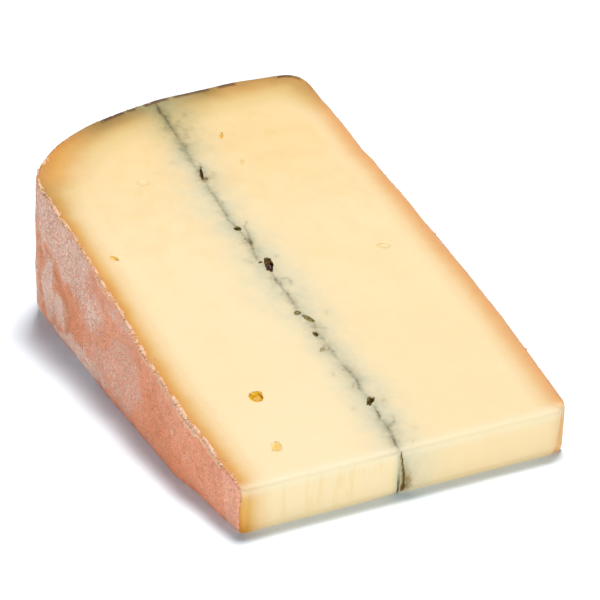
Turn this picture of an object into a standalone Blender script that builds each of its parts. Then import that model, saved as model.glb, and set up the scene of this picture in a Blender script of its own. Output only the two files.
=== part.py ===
# A wedge of morbier: a narrow slice of a flat cheese wheel, lying on one of its two cut faces.
# X runs across the wheel's height, from one flat rind to the other.
# Y runs from the cut tip, at the front, to the rim, and Z is up. All sizes are in metres.
# The slice is shaped about the wheel's axis, which lies along X at Y = 0, Z = 0, and then centred.
import math

import bmesh
import bpy
from mathutils import Matrix, Vector, noise

# The wheel, and how the slice was cut from it
WHEEL_RADIUS = 0.1697
CUT_ANGLE = math.radians(13.5)
TIP_DISTANCE = 0.0440           # from the wheel's axis to the tip cut, along its upper edge
TIP_LEAN = 0.0010               # the foot of the tip cut stands this much further back
SPAN_START = 0.0400             # where the outline starts, before the tip is cut off

# The outline of the wheel's section: two flat flanks, and a heel that is higher right of the middle
HEEL_X = 0.0160                 # where the heel reaches furthest out
HEEL_START = 0.1378             # distance from the axis at which the heel's curve starts
LEFT_REACH = 0.0556             # half width of the heel's curve, left of HEEL_X: past the flank
RIGHT_REACH = 0.0204
LEFT_ROUNDNESS = 2.3            # a wide, soft shoulder
RIGHT_ROUNDNESS = 7.0           # a tight corner
LEFT_FLANK = ((0.040, 0.0360), (0.059, 0.0374), (0.076, 0.0381), (0.112, 0.0375), (0.150, 0.0376))
RIGHT_FLANK = ((0.040, 0.0366), (0.058, 0.0375), (0.080, 0.0381), (0.115, 0.0375), (0.138, 0.0367))
FLANK_BLEND = 0.0005            # how softly the left flank turns into the heel

# The dark line of ash, as distance behind the tip cut and offset from the middle
SEAM_TRACE = (
    (-0.005, -0.0018), (0.001, -0.0016), (0.007, -0.0008), (0.020, -0.0006), (0.037, -0.0019),
    (0.050, -0.0018), (0.063, -0.0027), (0.088, -0.0021), (0.118, -0.0008), (0.130, -0.0006),
)
SEAM_PLANE = -0.0016            # the flat plane that the line wanders about
SEAM_WIDTH = 0.0120             # how far to either side the paste follows that wandering
ASH_THICKNESS = 0.0008
GAP = 0.0003                    # clearance between touching solids

# Surface
CELL = 0.0042                   # spacing of the surface grid
SPIN_STEPS = 10
FLANK_STEPS = 12
LEFT_HEEL_STEPS = 18
RIGHT_HEEL_STEPS = 12
SHARP = math.radians(40)        # an edge that bends more than this is rounded off
EDGE_ROUND = 0.0006
CORNER_ROUND = 0.0014           # the two upright corners of the tip
RIND_RELIEF = 0.0005
RIND_GRAIN = 115.0              # bumps of the rind per metre, roughly
PASTE_RELIEF = 0.00016
PASTE_GRAIN = 45.0
SKIN_DEPTH = 0.0020             # how deep the surface relief is felt inside the solid
POCKET_UNEVENNESS = 0.22        # of an eye's radius

# Eyes in the cut face: x, distance behind the tip, half width, half length, depth, turn in degrees
EYES = {
    "round_eye": (-0.0218, 0.0234, 0.0016, 0.0016, 0.0024, -20),
    "shallow_eye": (-0.0246, 0.0088, 0.0011, 0.0017, 0.0009, -37),
    "left_slit": (-0.0314, 0.0718, 0.0007, 0.0012, 0.0008, 30),
    "back_slit": (-0.0155, 0.0931, 0.0013, 0.0014, 0.0005, 40),
    "upright_slit": (0.0082, 0.1036, 0.0006, 0.0013, 0.0008, -28),
    "right_slit": (0.0249, 0.0580, 0.0016, 0.0009, 0.0006, -20),
}
# Openings along the ash line, in the same terms
SEAM_OPENINGS = {
    "back_crack": (-0.0019, 0.0922, 0.0007, 0.0022, 0.0015, -18),
    "back_pocket": (-0.0024, 0.0729, 0.0008, 0.0009, 0.0018, 0),
    "large_pocket": (-0.0014, 0.0598, 0.0011, 0.0024, 0.0030, -20),
    "small_pocket": (-0.0026, 0.0440, 0.0008, 0.0008, 0.0010, -20),
    "long_pocket": (-0.0012, 0.0416, 0.0008, 0.0018, 0.0013, 25),
    "middle_pocket": (-0.0020, 0.0368, 0.0007, 0.0009, 0.0014, 0),
    "front_pocket": (-0.0007, 0.0150, 0.0008, 0.0016, 0.0022, -42),
}
# The crack where the ash line comes down the tip cut: half width, depth, middle height, half height
TIP_CRACK = (0.0008, 0.0018, 0.0034, 0.0048)

PASTE_COLOR = (0.98, 0.80, 0.52)
ASH_COLOR = (0.16, 0.15, 0.11)


def clear_scene():
    for item in list(bpy.data.objects):
        bpy.data.objects.remove(item, do_unlink=True)


def make_material(name, color, roughness):
    material = bpy.data.materials.new(name)
    material.use_nodes = True
    shader = material.node_tree.nodes["Principled BSDF"]
    shader.inputs["Base Color"].default_value = (*color, 1.0)
    shader.inputs["Roughness"].default_value = roughness
    shader.inputs["Metallic"].default_value = 0.0
    return material


def smooth_through(points, at):
    """The value at a place on a smooth curve through (place, value) points."""
    last = len(points) - 2
    i = 0
    while i < last and at > points[i + 1][0]:
        i += 1
    (a, va), (b, vb) = points[i], points[i + 1]
    before = points[max(i - 1, 0)]
    after = points[min(i + 2, last + 1)]
    slope_a = (vb - before[1]) / (b - before[0])
    slope_b = (after[1] - va) / (after[0] - a)
    t = min(max((at - a) / (b - a), 0.0), 1.0)
    width = b - a
    return (
        va * (2 * t ** 3 - 3 * t ** 2 + 1)
        + vb * (3 * t ** 2 - 2 * t ** 3)
        + slope_a * width * (t ** 3 - 2 * t ** 2 + t)
        + slope_b * width * (t ** 3 - t ** 2)
    )


def soft_min(a, b):
    """The smaller of two widths, rounded off where they cross."""
    return 0.5 * (a + b - math.hypot(a - b, FLANK_BLEND))


def heel_quarter(side, steps):
    """Points of the heel's curve, from the flank up to its furthest point."""
    flank, reach, roundness = heel_side(side)
    for i in range(steps + 1):
        turn = 0.5 * math.pi * i / steps
        r = HEEL_START + (WHEEL_RADIUS - HEEL_START) * math.sin(turn) ** (2 / roundness)
        x = HEEL_X + side * reach * max(math.cos(turn), 0.0) ** (2 / roundness)
        if side * x > 0:
            x = side * soft_min(side * x, smooth_through(flank, r))
        yield x, r


def heel_side(side):
    if side < 0:
        return LEFT_FLANK, LEFT_REACH, LEFT_ROUNDNESS
    return RIGHT_FLANK, RIGHT_REACH, RIGHT_ROUNDNESS


def wheel_outline():
    """The outline of the wheel's section, as (x, distance from the axis)."""
    step = (HEEL_START - SPAN_START) / FLANK_STEPS
    heights = [SPAN_START + step * i for i in range(FLANK_STEPS)]
    left = [(-smooth_through(LEFT_FLANK, r), r) for r in heights]
    left += heel_quarter(-1, LEFT_HEEL_STEPS)
    right = [(smooth_through(RIGHT_FLANK, r), r) for r in heights]
    right += heel_quarter(1, RIGHT_HEEL_STEPS)
    return left + right[-2::-1]


def rim_distance(x):
    """How far the rim is from the wheel's axis, at x."""
    _, reach, roundness = heel_side(-1 if x < HEEL_X else 1)
    share = min(abs(x - HEEL_X) / reach, 1.0)
    return HEEL_START + (WHEEL_RADIUS - HEEL_START) * (1 - share ** roundness) ** (1 / roundness)


def seam_x(y):
    """Where the ash sheet lies, at a distance y in front of the wheel's axis."""
    return smooth_through(SEAM_TRACE, y - TIP_DISTANCE)


def slice_grid(bm, axis, start, stop, spacing):
    """Cuts new edges all round the body on evenly spaced planes across one axis."""
    count = max(int(round((stop - start) / spacing)), 1)
    normal = Vector((0, 0, 0))
    normal[axis] = 1
    for i in range(1, count):
        place = normal * (start + (stop - start) * i / count)
        geometry = bm.verts[:] + bm.edges[:] + bm.faces[:]
        bmesh.ops.bisect_plane(bm, geom=geometry, dist=1e-5, plane_co=place, plane_no=normal)


def cut_flat(bm, place, keep):
    """Cuts off all that lies behind a plane, away from keep, and closes the cut."""
    geometry = bm.verts[:] + bm.edges[:] + bm.faces[:]
    cut = bmesh.ops.bisect_plane(
        bm, geom=geometry, dist=1e-6, plane_co=place, plane_no=keep, clear_inner=True
    )
    rim = [item for item in cut["geom_cut"] if isinstance(item, bmesh.types.BMEdge)]
    bmesh.ops.edgeloop_fill(bm, edges=rim)
    bmesh.ops.recalc_face_normals(bm, faces=bm.faces)


def round_edges(bm, offset, wanted):
    """Rounds the sharp edges that are wanted, by their lower and upper ends."""
    chosen = []
    for edge in bm.edges:
        low, high = sorted((vert.co for vert in edge.verts), key=lambda end: end.z)
        at_foot = high.z < 1e-6
        if edge.calc_face_angle(0.0) > SHARP and not at_foot and wanted(low, high):
            chosen.append(edge)
    bmesh.ops.bevel(
        bm, geom=chosen, offset=offset, segments=2, profile=0.5, affect="EDGES", material=-1
    )


def relief(point):
    """How far the surface stands out at a point: bumps on the rind, soft waves on the cut faces."""
    x, y, z = point
    radius = math.hypot(y, z)
    outward = Vector((0, y, z)) / radius
    height = z / max(y * math.tan(CUT_ANGLE), 1e-6)
    bumps = noise.noise(point * RIND_GRAIN) + 0.6 * noise.noise(point * RIND_GRAIN * 0.35)
    waves = noise.noise(point * PASTE_GRAIN)
    left = math.exp(-abs(x + smooth_through(LEFT_FLANK, radius)) / SKIN_DEPTH)
    right = math.exp(-abs(x - smooth_through(RIGHT_FLANK, radius)) / SKIN_DEPTH)
    heel = math.exp(-abs(rim_distance(x) - radius) / SKIN_DEPTH)
    move = Vector((right - left, 0, 0)) * RIND_RELIEF * bumps
    move += outward * heel * RIND_RELIEF * bumps
    tip = math.exp(-abs(y - TIP_DISTANCE) / SKIN_DEPTH)
    move.y -= tip * PASTE_RELIEF * waves
    move.z += height ** 4 * PASTE_RELIEF * waves
    if z < 1e-6:
        move.z = 0.0
    return move


def slice_of_wheel():
    """The whole slice, one closed body, cut at the tip and with its edges rounded."""
    bm = bmesh.new()
    points = [bm.verts.new((x, r, 0.0)) for x, r in wheel_outline()]
    section = bm.faces.new(points)
    bmesh.ops.spin(
        bm, geom=[section, *section.edges, *section.verts], cent=(0, 0, 0), axis=(1, 0, 0),
        angle=CUT_ANGLE, steps=SPIN_STEPS, use_duplicate=False,
    )
    height = TIP_DISTANCE * math.tan(CUT_ANGLE)
    cut_flat(bm, Vector((0, TIP_DISTANCE, height)), Vector((0, height, TIP_LEAN)))
    round_edges(bm, CORNER_ROUND, is_tip_corner)
    round_edges(bm, EDGE_ROUND, lambda low, high: low.z > EDGE_ROUND)
    return bm


def is_tip_corner(low, high):
    """Whether an edge, from its lower to its upper end, is part of a tip's upright corner."""
    return high.y < TIP_DISTANCE + 2 * TIP_LEAN and high.z - low.z > abs(high.x - low.x)


def follow_seam(point):
    """How far a point moves sideways, so that the flat inner cuts follow the line of ash."""
    away = min(abs(point.x - SEAM_PLANE) / SEAM_WIDTH, 1.0)
    share = 1 - away * away * (3 - 2 * away)
    return (seam_x(point.y) - SEAM_PLANE) * share


def layer_mesh(name, whole, low, high):
    """The part of the slice between two offsets from the ash sheet, with a fine skin."""
    bm = whole.copy()
    if low is not None:
        cut_flat(bm, Vector((SEAM_PLANE + low, 0, 0)), Vector((1, 0, 0)))
    if high is not None:
        cut_flat(bm, Vector((SEAM_PLANE + high, 0, 0)), Vector((-1, 0, 0)))
    half = max(width for _, width in LEFT_FLANK + RIGHT_FLANK)
    slice_grid(bm, 0, -half, half, CELL)
    slice_grid(bm, 1, TIP_DISTANCE, WHEEL_RADIUS, CELL)
    bmesh.ops.remove_doubles(bm, verts=bm.verts, dist=0.0001)
    for vert in bm.verts:
        move = relief(vert.co)
        move.x += follow_seam(vert.co)
        vert.co += move
    bmesh.ops.triangulate(bm, faces=bm.faces)
    mesh = bpy.data.meshes.new(name)
    bm.to_mesh(mesh)
    bm.free()
    return mesh


def tool(name, bm):
    """A helper solid that only shapes others."""
    mesh = bpy.data.meshes.new(name)
    bm.to_mesh(mesh)
    bm.free()
    item = bpy.data.objects.new(name, mesh)
    item.hide_render = True
    item.display_type = "WIRE"
    bpy.context.collection.objects.link(item)
    return item


def add_pocket(bm, seed, x, behind, half_width, half_length, depth, turn):
    """An uneven rounded pocket, sunk into the upper cut face."""
    y = TIP_DISTANCE + behind
    made = bmesh.ops.create_icosphere(bm, subdivisions=2, radius=1.0)["verts"]
    for vert in made:
        bump = noise.noise(vert.co * 1.3 + Vector((seed * 7.1, 0, 0)))
        vert.co *= 1.0 + POCKET_UNEVENNESS * bump
    place = (
        Matrix.Translation((x, y, y * math.tan(CUT_ANGLE)))
        @ Matrix.Rotation(CUT_ANGLE, 4, "X")
        @ Matrix.Rotation(math.radians(turn), 4, "Z")
        @ Matrix.Diagonal((half_width, half_length, depth)).to_4x4()
    )
    bmesh.ops.transform(bm, matrix=place, verts=made)


def eye_tool():
    bm = bmesh.new()
    for seed, values in enumerate(EYES.values()):
        add_pocket(bm, seed, *values)
    return tool("eye_shapes", bm)


def seam_tool():
    """The pockets along the ash line, and the crack down the tip cut."""
    bm = bmesh.new()
    for seed, values in enumerate(SEAM_OPENINGS.values()):
        add_pocket(bm, seed + 20, *values)
    half_width, depth, middle, half_height = TIP_CRACK
    made = bmesh.ops.create_icosphere(bm, subdivisions=2, radius=1.0)["verts"]
    foot = TIP_DISTANCE + TIP_LEAN
    place = (
        Matrix.Translation((seam_x(foot), foot, middle))
        @ Matrix.Diagonal((half_width, depth, half_height)).to_4x4()
    )
    bmesh.ops.transform(bm, matrix=place, verts=made)
    return tool("seam_shapes", bm)


def add_node(mesh, material, cutters):
    """One named piece, with the pockets cut out of it."""
    item = bpy.data.objects.new(mesh.name, mesh)
    item.data.materials.append(material)
    bpy.context.collection.objects.link(item)
    for cutter in cutters:
        modifier = item.modifiers.new("less_" + cutter.name, "BOOLEAN")
        modifier.operation = "DIFFERENCE"
        modifier.solver = "EXACT"
        modifier.object = cutter
    return item


def centre(items, meshes):
    """Moves everything so that the origin is the middle of the slice's box, at its foot."""
    across = [vert.co.x for mesh in meshes for vert in mesh.vertices]
    along = [vert.co.y for mesh in meshes for vert in mesh.vertices]
    shift = Vector((-(min(across) + max(across)) / 2, -(min(along) + max(along)) / 2, 0))
    for item in items:
        item.location = shift


def build():
    clear_scene()
    paste = make_material("paste", PASTE_COLOR, 0.55)
    ash = make_material("ash", ASH_COLOR, 0.85)

    whole = slice_of_wheel()
    beside = ASH_THICKNESS / 2 + GAP
    left = layer_mesh("paste_left", whole, None, -beside)
    right = layer_mesh("paste_right", whole, beside, None)
    sheet = layer_mesh("ash_layer", whole, -ASH_THICKNESS / 2, ASH_THICKNESS / 2)
    whole.free()

    eyes = eye_tool()
    seam = seam_tool()
    nodes = [
        add_node(left, paste, (eyes, seam)),
        add_node(right, paste, (eyes, seam)),
        add_node(sheet, ash, (seam,)),
    ]
    centre([*nodes, eyes, seam], [left, right, sheet])


build()
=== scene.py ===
# A wedge of morbier on a pale table: a narrow slice of a cheese wheel, lying on one of its cut faces.
import math
from functools import partial

import bmesh
import bpy
import numpy as np
from mathutils import Matrix, Vector, noise
from mathutils.kdtree import KDTree


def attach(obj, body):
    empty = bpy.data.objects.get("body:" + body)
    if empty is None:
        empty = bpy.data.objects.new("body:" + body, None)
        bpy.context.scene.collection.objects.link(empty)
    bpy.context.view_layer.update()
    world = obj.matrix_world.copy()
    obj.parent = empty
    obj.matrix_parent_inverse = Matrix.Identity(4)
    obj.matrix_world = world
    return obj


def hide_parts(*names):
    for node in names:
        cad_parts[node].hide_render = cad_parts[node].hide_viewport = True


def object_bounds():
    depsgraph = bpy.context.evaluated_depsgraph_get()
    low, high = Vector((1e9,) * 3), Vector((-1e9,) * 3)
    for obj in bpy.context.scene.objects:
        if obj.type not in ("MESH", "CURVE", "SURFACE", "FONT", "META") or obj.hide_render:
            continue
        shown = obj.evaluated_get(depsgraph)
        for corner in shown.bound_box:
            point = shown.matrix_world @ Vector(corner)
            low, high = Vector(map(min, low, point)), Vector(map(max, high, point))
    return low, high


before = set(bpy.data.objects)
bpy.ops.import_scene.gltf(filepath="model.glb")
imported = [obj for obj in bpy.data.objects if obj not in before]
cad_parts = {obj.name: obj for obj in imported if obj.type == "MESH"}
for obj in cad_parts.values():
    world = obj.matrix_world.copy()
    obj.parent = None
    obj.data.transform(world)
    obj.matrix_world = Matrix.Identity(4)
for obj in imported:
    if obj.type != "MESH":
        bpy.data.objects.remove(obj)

cadLow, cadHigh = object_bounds()
mm = 0.001

# The slice is shaped about the wheel's axis: x across the wheel's height, y from the axis to the rim, z up.
wheel = {
    "radius": 0.1697,
    "cutAngle": math.radians(13.5),
    "tipDistance": 0.0440,  # from the wheel's axis to the tip cut, along its upper edge
    "tipLean": 0.0010,  # the foot of the tip cut stands this much further back
    "spanStart": 0.0400,
    "heelX": 0.0160,  # where the heel reaches furthest out
    "heelStart": 0.1378,
    "leftReach": 0.0556,
    "rightReach": 0.0204,
    "leftRoundness": 2.3,
    "rightRoundness": 7.0,
    "leftFlank": ((0.040, 0.0360), (0.059, 0.0374), (0.076, 0.0381), (0.112, 0.0375), (0.150, 0.0376)),
    "rightFlank": ((0.040, 0.0366), (0.058, 0.0375), (0.080, 0.0381), (0.115, 0.0375), (0.138, 0.0367)),
    "flankBlend": 0.0005,
    "edgeRound": 0.0006,
    "cornerRound": 0.0014,
    "sharpEdge": math.radians(40),
    "sideShift": -0.00005,  # from the wheel's middle plane to the middle of the frame
}
surface = {
    "cell": 0.42 * mm,  # spacing of the surface grid
    "seamCell": 0.2 * mm,  # the same beside the ash line
    "seamZone": 4.5 * mm,
    "hiddenCell": 2.0 * mm,
    "rindRelief": 0.5 * mm,
    "rightRelief": 0.22 * mm,  # the right flank is smoother
    "rindGrain": 115.0,
    "pasteRelief": 0.16 * mm,
    "pasteGrain": 45.0,
    "skinDepth": 2.0 * mm,  # how deep the broad relief is felt
    "crust": 0.11 * mm,  # fine crust of the rind
    "crustGrain": 620.0,
    "crumble": 0.26 * mm,  # raggedness where the knife went through the rind
    "crumbleGrain": 620.0,
    "pasteGrit": 0.02 * mm,
    "pasteGritGrain": 320.0,
    "smoothAngle": math.radians(48),
}
seam = {
    # the line of ash as distance behind the tip cut and offset from the middle
    "trace": (
        (-0.005, -0.0018), (0.001, -0.0017), (0.006, -0.0011), (0.012, -0.0009), (0.020, -0.0006),
        (0.030, -0.0012), (0.040, -0.0015), (0.050, -0.0019), (0.063, -0.0026), (0.068, -0.0019),
        (0.076, -0.0028), (0.086, -0.0025), (0.092, -0.0021), (0.102, -0.0016), (0.118, -0.0009),
        (0.130, -0.0007),
    ),
    "plane": -0.0016,  # the flat plane that the line wanders about
    "width": 0.0120,
    "sheet": 0.4 * mm,  # half thickness of the slab that the ash sheet is shaped from
    "thin": 0.10 * mm,  # half thickness of the ash where it is faint
    "thick": 0.34 * mm,
    "closing": 1.6 * mm,  # the paste closes over the ash this far below the rind
    "beside": 1.5 * mm,  # how far the paste beside the ash makes room for it
}
outlineSteps = {"flank": 24, "left": 40, "right": 26, "longest": 0.8 * mm}
tip = wheel["tipDistance"]
slope = wheel["cutAngle"]
tangent = math.tan(slope)
cutNormal = Vector((0, -math.sin(slope), math.cos(slope)))
origin = Vector((wheel["sideShift"], cadLow.y - tip, 0))
toRight, toRim, upwards = Vector((1, 0, 0)), Vector((0, 1, 0)), Vector((0, 0, 1))


def smoothThrough(points, at):
    # the value at a place on a smooth curve through (place, value) points
    last = len(points) - 2
    i = next((k for k in range(last) if at <= points[k + 1][0]), last)
    (a, va), (b, vb) = points[i], points[i + 1]
    before = points[max(i - 1, 0)]
    after = points[min(i + 2, last + 1)]
    slopeA = (vb - before[1]) / (b - before[0])
    slopeB = (after[1] - va) / (after[0] - a)
    t = min(max((at - a) / (b - a), 0.0), 1.0)
    width = b - a
    return (
        va * (2 * t ** 3 - 3 * t ** 2 + 1)
        + vb * (3 * t ** 2 - 2 * t ** 3)
        + slopeA * width * (t ** 3 - 2 * t ** 2 + t)
        + slopeB * width * (t ** 3 - t ** 2)
    )


def curveThrough(points, at):
    # the same curve, read at many places at once
    samples = np.linspace(points[0][0], points[-1][0], 600)
    return np.interp(at, samples, [smoothThrough(points, place) for place in samples])


def sideOutline(side, name):
    # one side of the outline, up its flank and along its curve of the heel to the furthest point
    start, stop, top = wheel["spanStart"], wheel["heelStart"], wheel["radius"]
    flank, power = wheel[name + "Flank"], 2 / wheel[name + "Roundness"]
    for i in range(outlineSteps["flank"]):
        r = start + (stop - start) / outlineSteps["flank"] * i
        yield side * smoothThrough(flank, r), r
    for i in range(outlineSteps[name] + 1):
        turn = 0.5 * math.pi * i / outlineSteps[name]
        r = stop + (top - stop) * math.sin(turn) ** power
        x = wheel["heelX"] + side * wheel[name + "Reach"] * max(math.cos(turn), 0.0) ** power
        if side * x > 0:
            wide, limit = side * x, smoothThrough(flank, r)
            x = side * 0.5 * (wide + limit - math.hypot(wide - limit, wheel["flankBlend"]))
        yield x, r


def wheelOutline():
    # the outline of the wheel's section, as (x, distance from the axis)
    return [*sideOutline(-1, "left"), *list(sideOutline(1, "right"))[-2::-1]]


def cutFlat(bm, place, keep):
    # cuts off all that lies behind a plane, away from keep, and closes the cut
    geometry = bm.verts[:] + bm.edges[:] + bm.faces[:]
    made = bmesh.ops.bisect_plane(
        bm, geom=geometry, dist=1e-6, plane_co=place, plane_no=keep, clear_inner=True
    )
    rim = [item for item in made["geom_cut"] if isinstance(item, bmesh.types.BMEdge)]
    bmesh.ops.edgeloop_fill(bm, edges=rim)
    bmesh.ops.recalc_face_normals(bm, faces=bm.faces)


def roundEdges(bm, offset, segments, wanted):
    # rounds the sharp edges that are wanted, by their lower and upper ends
    chosen = []
    for edge in bm.edges:
        low, high = sorted((vert.co for vert in edge.verts), key=lambda end: end.z)
        if edge.calc_face_angle(0.0) > wheel["sharpEdge"] and high.z > 1e-6 and wanted(low, high):
            chosen.append(edge)
    bmesh.ops.bevel(
        bm, geom=chosen, offset=offset, segments=segments, profile=0.5, affect="EDGES", material=-1
    )


def isTipCorner(low, high):
    atTip = high.y < tip + 2 * wheel["tipLean"]
    return atTip and high.z - low.z > abs(high.x - low.x)


def sliceOfWheel():
    # the whole slice, one closed body, cut at the tip and with its edges rounded
    bm = bmesh.new()
    points = [bm.verts.new((x, r, 0.0)) for x, r in wheelOutline()]
    section = bm.faces.new(points)
    bmesh.ops.spin(
        bm, geom=[section, *section.edges, *section.verts], cent=(0, 0, 0), axis=(1, 0, 0),
        angle=slope, steps=12, use_duplicate=False,
    )
    height = tip * tangent
    cutFlat(bm, Vector((0, tip, height)), Vector((0, height, wheel["tipLean"])))
    roundEdges(bm, wheel["cornerRound"], 4, isTipCorner)
    roundEdges(bm, wheel["edgeRound"], 3, lambda low, high: low.z > wheel["edgeRound"])
    return bm


def evenly(start, stop, cell):
    count = max(int(round((stop - start) / cell)), 1)
    return [start + (stop - start) * i / count for i in range(1, count)]


def widening(start, stop, fine, coarse, zone):
    # places from start to stop, close together at first and wider apart after the zone
    places = []
    at = start + fine
    while at < stop:
        places.append(at)
        share = min(max((at - start - zone) / (2 * zone), 0.0), 1.0)
        at += fine + (coarse - fine) * share
    return places


def kindOf(face, innerX):
    # where a face lies: on a flat inner cut, at the foot, on a flank, at the tip or heel, or above
    if any(all(abs(vert.co.x - x) < 1e-6 for vert in face.verts) for x in innerX):
        return "inner"
    if face.normal.z < -0.9:
        return "foot"
    if abs(face.normal.x) > 0.9:
        return "flank"
    return "upright" if abs(face.normal.z) < 0.3 else "upper"


def cutRows(bm, innerX, side, kinds, normal, places, limit=1.0):
    # cuts faces of the named kinds on parallel planes, as far to the side as the limit
    bm.normal_update()
    ahead = [face for face in bm.faces if max(vert.co.x * side for vert in face.verts) < limit]
    ahead = [face for face in ahead if kindOf(face, innerX) in kinds.split()]
    for place in places:
        parts = dict.fromkeys(item for face in ahead for item in (face, *face.edges, *face.verts))
        made = bmesh.ops.bisect_plane(
            bm, geom=list(parts), dist=1e-6, plane_co=normal * place, plane_no=normal
        )["geom"]
        faces = [item for item in made if isinstance(item, bmesh.types.BMFace)]
        ahead = [face for face in faces if max(vert.co.dot(normal) for vert in face.verts) > place + 1e-6]


def refineHalf(bm, side):
    # a fine even grid over all that shows, finest beside the ash line
    cut = partial(cutRows, bm, [seam["plane"]], side)
    outwards = side * toRight
    stop = wheel["radius"]
    cell, coarse, zone = surface["cell"], surface["hiddenCell"], surface["seamZone"]
    begin = side * seam["plane"]
    end = max(width for _, width in wheel["leftFlank"])
    rows = evenly(tip, stop, cell)
    between = [(a + b) / 2 for a, b in zip([tip] + rows, rows + [stop])]
    cut("foot", outwards, evenly(begin, end, coarse))
    cut("foot inner", toRim, evenly(tip, stop, coarse))
    cut("upper", outwards, [begin + zone])
    cut("flank upright upper", toRim, rows)
    cut("upper", toRim, between, begin + zone + 1e-6)
    cut("flank upright", upwards, evenly(0, stop * math.sin(slope), cell))
    cut("upright upper", outwards, widening(begin, end, surface["seamCell"], cell, zone))


def travelAlong(points):
    return np.concatenate([[0], np.cumsum(np.hypot(*np.diff(points, axis=0).T))])


def placesAlong(points, at):
    return np.stack([np.interp(at, travelAlong(points), points[:, i]) for i in range(2)], 1)


def denseOutline():
    # the outline of the section with extra points between its corners
    corners = np.array(wheelOutline())
    travelled = travelAlong(corners)
    between = np.arange(0, travelled[-1], outlineSteps["longest"])
    return placesAlong(corners, np.union1d(travelled, between))


outline = denseOutline()
ripening = {
    "blur": 1.3 * mm,  # how far the ripened band runs together in the corners
    "sideWidth": 4.6,  # in millimetres
    "rimWidth": 8.6,
    "cornerWidth": 7.5,  # at the right end of the rim
    "shoulderWidth": 15.0,
}


def fromRind(x, radius):
    # distance to the rind's outline, the same evened out round corners, and the way out there
    starts, ends = outline[:-1], outline[1:]
    steps = ends - starts
    lengths = (steps ** 2).sum(1)
    outward = np.stack([-steps[:, 1], steps[:, 0]], 1) / np.sqrt(lengths)[:, None]
    depth, ripe, nearest = np.empty(len(x)), np.empty(len(x)), np.empty(len(x), int)
    for first in range(0, len(x), 4000):
        part = slice(first, first + 4000)
        point = np.stack([x[part], radius[part]], 1)[:, None, :]
        share = np.clip(((point - starts) * steps).sum(2) / lengths, 0, 1)
        gap = np.sqrt(((point - starts - share[..., None] * steps) ** 2).sum(2))
        nearest[part] = gap.argmin(1)
        depth[part] = gap.min(1)
        felt = (np.exp(-gap / ripening["blur"]) * np.sqrt(lengths)).sum(1) / (2 * ripening["blur"])
        ripe[part] = -ripening["blur"] * np.log(np.maximum(felt, 1e-12))
    return depth, ripe, outward[nearest]


def grain(points, scale, shift=0.0):
    away = Vector((shift, shift * 0.7, shift * 1.3))
    return np.array([noise.noise(Vector(point) * scale + away) for point in points])


def soft(value, low, high):
    # a smooth step from 0 to 1
    t = np.clip((value - low) / (high - low), 0, 1)
    return t * t * (3 - 2 * t)


def fade(value, low, high):
    return 1 - soft(value, low, high)


def band(value, a, b, c, d):
    # 1 between b and c, and 0 before a and after d
    return soft(value, a, b) * fade(value, c, d)


def bell(value, middle, width):
    return np.exp(-((value - middle) / width) ** 2)


def close(gap, depth):
    # 1 on a surface, and less away from it
    return np.exp(-np.abs(gap) / depth)


def rindAround(points):
    # both distances of each point from the rind, and the way out of the paste there
    x, y, z = points.T
    radius = np.hypot(y, z)
    depth, ripe, outward = fromRind(x, radius)
    return depth, ripe, np.stack([outward[:, 0], outward[:, 1] * y / radius, outward[:, 1] * z / radius])


shoulderTuck = {"middle": 146.0, "reach": 13.0, "height": 13.0 * mm, "spread": 12.0 * mm, "depth": 1.0 * mm}
rightTipCorner = {"x": 36.75 * mm, "round": 3.3 * mm}
footEdge = {
    "round": 0.45 * mm,  # how far the lowest edge draws in all round
    "height": 0.9 * mm,
    "tuck": 1.7 * mm,  # the same at the back of the left flank
    "tuckHeight": 2.2 * mm,
    "tuckFrom": (100.0, 150.0),
}
# Fuller places of the rind, in millimetres: x, distance from the axis, reach, push across and outwards
swells = ((34.0, 166.0, 4.5, 0.78, 0.78), (36.0, 148.0, 9.0, 0.45, 0.0))


def roundTipCorner(points):
    # rounds the upright corner between the tip cut and the right flank
    size = rightTipCorner["round"]
    u = (points[:, 0] - rightTipCorner["x"]) / size + 1
    v = (tip - points[:, 1]) / size + 1
    inside = (u > 0) & (v > 0)
    shrink = np.maximum(u, v) / np.maximum(np.hypot(u, v), 1e-9)
    points[:, 0] -= np.where(inside, u * (1 - shrink), 0) * size
    points[:, 1] += np.where(inside, v * (1 - shrink), 0) * size
    return points


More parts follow.
